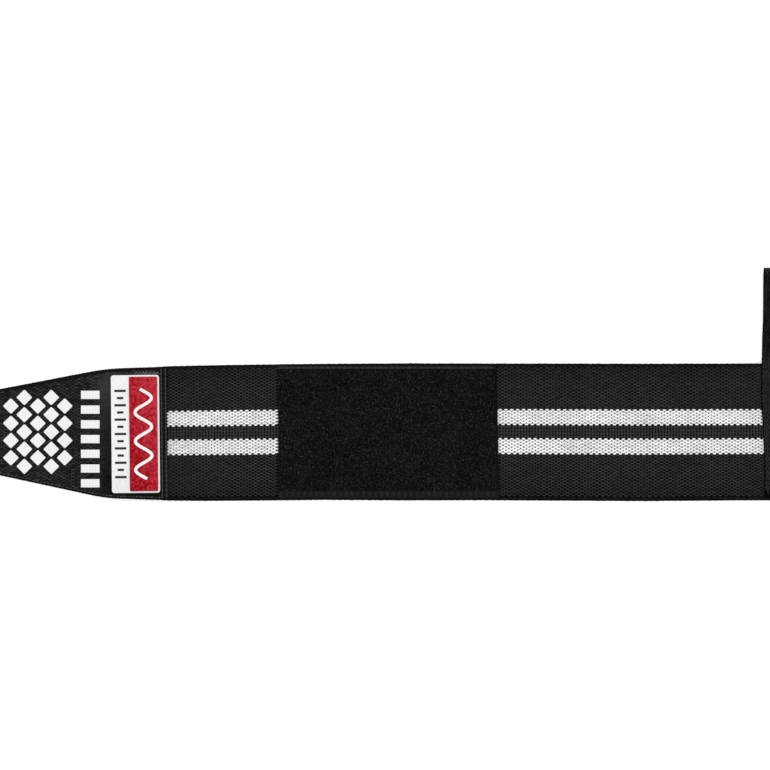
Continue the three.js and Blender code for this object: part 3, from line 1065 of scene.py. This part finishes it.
bar_count = 7
bar_pitch = 8.2 * mm
bar_from, bar_to = -170 * mm, -159.6 * mm
bars_middle = -4 * mm
printed_bars = cloth_strip("printed_bars", np.linspace(bar_from, bar_to, 10), 4.6 * mm, ink_thick)
round_ends(printed_bars, 0.1 * mm, bar_from, bar_to)
shift(printed_bars, 0, bars_middle - (bar_count - 1) / 2 * bar_pitch)
repeat(printed_bars, bar_count, (0, bar_pitch, 0))
lay_on(printed_bars, tab, "top")
finish_piece(printed_bars, ink)

# %% [markdown]
# The hook panel, under the tab. A woven tape carries rows of stiff little hooks, each a bristle that curls
# over. One hook is a thin section spun downwards through less than half a turn, so it leaves the tape, bends
# back and ends short of it.

# %% The hook tape and its hooks
hook_height = 0.8 * mm
hook_foot = 0.03 * mm
hook_spacing = (1.55 * mm, 1.25 * mm)
hook_width = float((hooks["high"] - hooks["low"]).max())
hook_thick = float(hooks["top"][0] - hooks["base"][0]) - hook_height
hook_tape = cloth_strip("hook_tape_base", refined(hooks["x"], 5 * mm), hook_width, hook_thick)
shift(hook_tape, z=hook_height)
lay_on(hook_tape, hooks, "own", flat_width=hook_width)
hook_tape_finish = woven_finish("hook_tape", grey(0.004), 900.0, 900.0)
finish_piece(hook_tape, hook_tape_finish)
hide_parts("hook_panel")

hook_bend = 0.3 * mm
hook_section = (0.26 * mm, 0.46 * mm, 1)
hook = spun(
    "one_hook", sides=4, turned_by=(0, 0, 0), size=hook_section, off_axis=(hook_bend, 0, 0),
    steps=5, degrees=-150, axis=(0, 1, 0),
)
write_points(hook, read_points(hook) * (1, 1, hook_height / -read_points(hook)[:, 2].min()))
shift(hook, z=hook_height + hook_foot)
hook_columns = int((hooks["x"][-1] - hooks["x"][0]) / hook_spacing[0])
hook_rows = int(hook_width / hook_spacing[1])
hook_field = rows_of(
    hook, "hook_field", (hook_columns, (hook_spacing[0], 0, 0)), (hook_rows, (0, hook_spacing[1], 0)),
    place=(hooks["x"][0] + hook_spacing[0] / 2, -(hook_rows - 1) / 2 * hook_spacing[1], 0),
)
keep_inside(hook_field, hook, hooks, margin=0.8 * mm)
vary_copies(hook_field, hook, size=0.05, turn=0.3, wander=0.1 * mm)
lay_on(hook_field, hooks, "own")
bristle = yarn_finish("bristle", grey(0.02), 0.5, roughness=0.35, sheen=0.0, spread=0.4)
finish_yarns(hook_field, bristle)

# %% [markdown]
# The loop patch. It is a woven tape whose middle stands in a dull fuzz of tiny loops, which swallow light, so
# it is the darkest cloth on the wrap. Its two selvedges stay bare, and the wide lower one shows a tick of
# thread at each pick. The fuzz is a low felted body with thousands of small arches set on it at all angles.

# %% The patch's ground
patch_ground_top = 3.2 * mm
patch_skew = 1.8 * mm
pile_low = patch_low.y + 3.9 * mm
pile_high = patch_high.y - 1.7 * mm
far_end = patch_high.x - patch_skew / 2


def skewed(piece):
    """Slants a patch piece's far end, as the tape was cut, and keeps its near end square."""
    points = read_points(piece)
    share = (points[:, 0] - patch_low.x) / (far_end - patch_low.x)
    points[:, 0] -= patch_skew * share * points[:, 1] / band_width
    write_points(piece, points)


def patch_body(name, x_from, x_to, low, high, base, top, rounding):
    """A flat body of the patch with round ends, standing between two levels."""
    piece = cloth_strip(name, np.linspace(x_from, x_to, 41), high - low, top - base)
    round_ends(piece, rounding, x_from, x_to)
    keep_flat(piece)
    shift(piece, y=(low + high) / 2, z=base)
    skewed(piece)
    return piece


patch_ground = patch_body(
    "patch_ground", patch_low.x, far_end, patch_low.y, patch_high.y, patch_low.z, patch_ground_top, 0.25 * mm
)
ground_finish = woven_finish(
    "patch_ground", grey(0.006), 1 / (yarn_pitch / 2), 900.0, specular=0.05, crown=0.5
)
finish_piece(patch_ground, ground_finish)
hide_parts("loop_patch")

# %% The patch's pile
felt_top = 3.55 * mm
pile_edge = 0.3 * mm
felt_from, felt_to = patch_low.x + pile_edge, far_end - pile_edge
patch_felt = patch_body(
    "patch_felt", felt_from, felt_to, pile_low, pile_high, patch_ground_top, felt_top, 0.15 * mm
)


def fuzz_finish(name, level, speck):
    """Dull fuzz: soft clumps of tone, with a fine grain of fibres in them and no shine."""
    finish, tree, place = start_finish(name, 1.0, 0.0)
    clumps, tone = noise(tree, place, 600.0, 5.0)
    dyed = use_group(tree, dye, Place=place)
    shade = attribute(tree, "shade", "Fac")
    tones = [(tone, 0.9), (dyed["Tone"], 0.3), (dyed["Lint"], 1.5), (shade, speck)]
    return end_finish(finish, tinted(tree, grey(level), *tones), clumps, 0.5, 0.2 * mm)


felt = fuzz_finish("felt", 0.0045, 0.0)
finish_piece(patch_felt, felt)

arch_rise = 0.42 * mm
arch_spacing = 1.12 * mm
arch_spread = 1.1
arch_sink = 0.1 * mm
arch = half_ring("arch", arch_rise, arch_rise, 0.26 * mm, 0.2 * mm, sides=3, steps=4)
x, y, z = read_points(arch).T
write_points(arch, np.column_stack([x, -arch_spread * z, y]))
arch_columns = int((felt_to - felt_from) / arch_spacing)
arch_rows = int((pile_high - pile_low) / arch_spacing)
patch_pile = rows_of(
    arch, "patch_pile", (arch_columns, (arch_spacing, 0, 0)), (arch_rows, (0, arch_spacing, 0)),
    place=(felt_from + arch_spacing / 2, pile_low + arch_spacing / 2, felt_top - arch_sink),
)
vary_copies(patch_pile, arch, lift=0.03, size=0.25, turn=math.pi, wander=0.5 * arch_spacing)
keep_flat(patch_pile)
skewed(patch_pile)
pile_fuzz = fuzz_finish("pile", 0.0255, 1.0)
finish_yarns(patch_pile, pile_fuzz)


# %% Threads along the patch's selvedges
def patch_ticks(name, low, high, width, finish):
    """One thread across a selvedge at each pick."""
    one = turn(yarn_float("one_tick", high - low, width, 0.2 * mm), 90)
    row = (int((far_end - patch_low.x) / yarn_pitch), (yarn_pitch, 0, 0))
    piece = rows_of(one, name, row, place=(patch_low.x + yarn_pitch / 2, (low + high) / 2, patch_ground_top))
    vary_copies(piece, one, size=0.05, turn=0.04, wander=0.06 * mm)
    discard(one)
    keep_flat(piece)
    skewed(piece)
    return finish_yarns(piece, finish)


tick_yarn = yarn_finish("tick_yarn", grey(0.0065), 0.09, spread=0.2)
ticks_lower = patch_ticks("patch_ticks_lower", patch_low.y + 0.4 * mm, pile_low, 1.9 * mm, tick_yarn)
edge_yarn = yarn_finish("edge_yarn", grey(0.012), 0.14, spread=0.15)
ticks_upper = patch_ticks("patch_ticks_upper", pile_high, patch_high.y - 0.2 * mm, 3.6 * mm, edge_yarn)

# %% [markdown]
# The label is a damask-woven patch: a white ground with round corners and a pressed edge, and a red satin
# field. The photograph's words on it are not copied. A scale of black ticks stands on the white strip and a
# plain white wave crosses the red field, both of which are woven in, so they are barely proud of the cloth.

# %% The label and its field
label_width, label_height = 26.8 * mm, 65.6 * mm
label_middle = ((label_low.x + label_high.x) / 2, (label_low.y + label_high.y) / 2)
field_low, field_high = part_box("label_field")
field_middle = ((field_low.x + field_high.x) / 2 + 0.1 * mm, (field_low.y + field_high.y) / 2)
label_base = label_low.z - 0.2 * mm
label_level = label_high.z
field_width, field_height = 15.7 * mm, 63.7 * mm


def set_on_label(piece, place, level, name, finish):
    """Leans a flat piece with the label, moves it to its place there, and finishes it."""
    keep_flat(piece)
    turn(piece, label_lean)
    shift(piece, *place, level)
    return finish_piece(named(piece, name), finish)


def satin_finish():
    """Red satin: deep and pale threads in small clumps, with more pale ones to the right and the top."""
    deep = (0.209, 0.0005, 0.0038, 1)
    pale = (0.407, 0.026, 0.043, 1)
    rightwards, upwards = 0.42, 0.4
    finish, tree, place = start_finish("red_satin", 0.6, 0.03)
    parts = add(tree, "ShaderNodeSeparateXYZ", {0: place}).outputs
    weave = use_group(tree, plain_weave, Place=place, Along=1300.0, Across=1700.0)
    clumps = use_group(tree, dye, Place=place, Drift=850.0)["Tone"]
    # The threads' crowns are painted paler, a painted highlight.
    lit = calculate(tree, "SUBTRACT", weave["Height"], 0.6)
    slope = [(parts["X"], rightwards / field_width), (parts["Y"], upwards / field_height)]
    share = total(tree, 0.44, *slope, (clumps, 1.6), (lit, 0.5))
    return end_finish(finish, mixed(tree, share, deep, pale), weave["Height"], 0.6, 0.08 * mm)


white_damask = woven_finish(
    "white_damask", grey(0.625, cool=1.0), 2600.0, 2600.0, specular=0.1, crown=0.06, relief=0.04 * mm
)
red_satin = satin_finish()
label_thick = label_level - label_base
label = cloth_plate("label", label_width, label_height, label_thick, corner=1.5 * mm, edge=0.1 * mm)
label = set_on_label(label, label_middle, label_base, "label_plate", white_damask)
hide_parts("label_frame")
field_base = label_level + 0.02 * mm
field_thick = field_high.z - field_base
field = cloth_plate("field", field_width, field_height, field_thick, corner=0.5 * mm, edge=0.08 * mm)
field = set_on_label(field, field_middle, field_base, "field_plate", red_satin)
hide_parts("label_field")

# %% The generic marks on the label
mark_thick = 0.1 * mm
strip_off_middle = 8.35 * mm
black_weft = woven_finish("black_weft", grey(0.015), 2600.0, 2600.0, crown=0.3, relief=0.03 * mm)
white_weft = woven_finish("white_weft", grey(0.63, cool=1.0), 2600.0, 2600.0, crown=0.06, relief=0.03 * mm)
tick_parts = []
for wide, first, count in ((6.4 * mm, -24 * mm, 7), (3.6 * mm, -20 * mm, 6)):
    tick = cloth_plate(f"tick_{count}", wide, 1.3 * mm, mark_thick, corner=0.3 * mm, edge=0.03 * mm)
    shift(tick, 0, first)
    repeat(tick, count, (0, 8 * mm, 0))
    tick_parts.append(tick)
scale_ticks = join(tick_parts, "scale")
strip_middle = (label_middle[0] - strip_off_middle, label_middle[1])
scale_ticks = set_on_label(scale_ticks, strip_middle, label_level, "scale_ticks", black_weft)

wave_height, wave_length, wave_swing, wave_wide = 50 * mm, 16 * mm, 4.6 * mm, 1.7 * mm
wave_y = np.linspace(-wave_height / 2, wave_height / 2, 161)
wave_x = wave_swing * np.sin(wave_y / wave_length * 2 * math.pi)
wave_route = np.column_stack([wave_x, wave_y, np.zeros(len(wave_y))])
wave_places = np.linspace(0, distances(wave_route)[-1], 161)
wave = cloth_strip("wave", wave_places, wave_wide, mark_thick, halvings=1)
lay_along(wave, wave_route)
wave.data.attributes.remove(wave.data.attributes["cloth"])
wave = set_on_label(wave, field_middle, field_high.z, "wave_mark", white_weft)

# %% [markdown]
# The thumb loop is one length of tape. Its lower ply lies on the table under the band's end, it folds over
# well past the band's edge, and its upper ply comes back down onto the band. It stands open as the photograph
# shows it, so it is laid along that route instead of being simulated, which would let it fall flat.

# %% The tape's route
tape_thick = 1.4 * mm
tape_width = 20 * mm
fold_reach = 85.7 * mm
dip_to = 40 * mm
dip_level = 4.8 * mm
dip_holds = ((65.135 * mm, 10.9 * mm), (51.425 * mm, 4.8 * mm))
tape_end = tape_low.y + 0.8 * mm
fold_radius = (tape_high.z - tape_thick) / 2
lower_level = tape_thick / 2
upper_level = tape_high.z - tape_thick / 2
tape_middle_x = 220 * mm
drift_shares = [0, 0.3, 0.5, 0.62, 0.66, 0.74, 0.79, 0.86, 0.92, 1]
drift = [-0.045, -0.04, 0.0, -0.024, -0.043, -0.06, -0.068, -0.015, 0.022, 0.02]


def curve_between(start, hold_a, hold_b, end, count):
    """Points on a Bezier curve."""
    t = np.linspace(0, 1, count)[:, None]
    corners = [np.array(p) for p in (start, hold_a, hold_b, end)]
    weights = [(1 - t) ** 3, 3 * t * (1 - t) ** 2, 3 * t**2 * (1 - t), t**3]
    return sum(w * c for w, c in zip(weights, corners))


turn_round = np.linspace(-math.pi / 2, math.pi / 2, 41)
fold = np.column_stack([
    fold_reach + fold_radius * np.cos(turn_round),
    lower_level + fold_radius + fold_radius * np.sin(turn_round),
])
dip = curve_between((fold_reach, upper_level), *dip_holds, (dip_to, dip_level), 41)
lower_ply = np.array([[tape_end, lower_level]])
along_band = np.linspace(dip_to, tape_end, 17)[1:]
upper_ply = np.column_stack([along_band, np.full(len(along_band), dip_level)])
side_view = np.concatenate([lower_ply, fold, dip[1:], upper_ply])
passed = distances(side_view)
tape_x = tape_middle_x + tape_width * np.interp(passed / passed[-1], drift_shares, drift)
tape_route = np.column_stack([tape_x, side_view])
tape_length = float(distances(tape_route)[-1])
print("tape length in mm:", round(tape_length / mm, 1))

# %% The tape and its stitches
tape_places = np.linspace(0, tape_length, 705)
tape_relief = 0.13 * mm
thumb_tape = cloth_strip("thumb_tape", tape_places, tape_width, tape_thick - tape_relief, halvings=3)
shift(thumb_tape, z=-tape_thick / 2)
lay_along(thumb_tape, tape_route, sideways=(1, 0, 0))
tape_finish = woven_finish(
    "loop_tape", grey(0.0012), 560.0, 1000.0, specular=0.01, crown=0.5, relief=0.15 * mm
)
finish_piece(thumb_tape, tape_finish)
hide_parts("thumb_loop")

tape_rows = 20
tape_row_pitch = 0.94 * mm
tape_float_pitch = 2.7 * mm
tape_face = tape_thick / 2 - tape_relief
bare_start, bare_in_all = 0.8 * mm, 3 * mm
painted_light_on_band, pressed_over = 1.5, 12 * mm
sewn_from = tape_length - (band_width - 3 * mm)
tape_float = yarn_float("tape_float", 2.5 * mm, 0.85 * mm, tape_relief)
tape_yarns = rows_of(
    tape_float,
    "tape_yarns",
    (int((tape_length - bare_in_all) / tape_float_pitch), (tape_float_pitch, 0, 0)),
    (2, (tape_float_pitch / 2, tape_row_pitch, 0)),
    (tape_rows // 2, (0, 2 * tape_row_pitch, 0)),
    place=(bare_start + tape_float_pitch / 2, -(tape_rows - 1) / 2 * tape_row_pitch, tape_face),
)
vary_copies(tape_yarns, tape_float, size=0.04, wander=0.05 * mm)
# Painted highlight: the tape's yarns are painted lighter where the tape comes down and lies on the band.
pressed = np.clip((read_points(tape_yarns)[:, 0] - sewn_from + pressed_over) / pressed_over, 0, 1)
reshade(tape_yarns, lambda shade: shade + painted_light_on_band * pressed)
lay_along(tape_yarns, tape_route, sideways=(1, 0, 0))
tape_yarn = yarn_finish("tape_yarn", grey(0.0075), 0.08, spread=0.95)
finish_yarns(tape_yarns, tape_yarn)

stitch_inside = 2.2 * mm
stitch_level = tape_thick / 2 + 0.08 * mm
tape_stitch = yarn_float("tape_stitch", 2.2 * mm, 0.5 * mm, 0.2 * mm, along=6)
tape_stitches = rows_of(
    tape_stitch,
    "tape_stitches",
    (int((tape_length - sewn_from) / stitch_pitch), (stitch_pitch, 0, 0)),
    (2, (0, 2 * stitch_inside - tape_width, 0)),
    place=(sewn_from, tape_width / 2 - stitch_inside, stitch_level),
)
vary_copies(tape_stitches, tape_stitch, size=0.05, turn=0.05, wander=0.05 * mm)
lay_along(tape_stitches, tape_route, sideways=(1, 0, 0))
finish_yarns(tape_stitches, black_thread)

# %% [markdown]
# The models that were only copied from are thrown away.

# %% Throw away the models
discard(black_float, white_float, rib_float, under_float, one_turn, tab_float, one_wrap, one_needle)
discard(seam_stitch, one_zigzag, hook, arch, tape_float, tape_stitch)
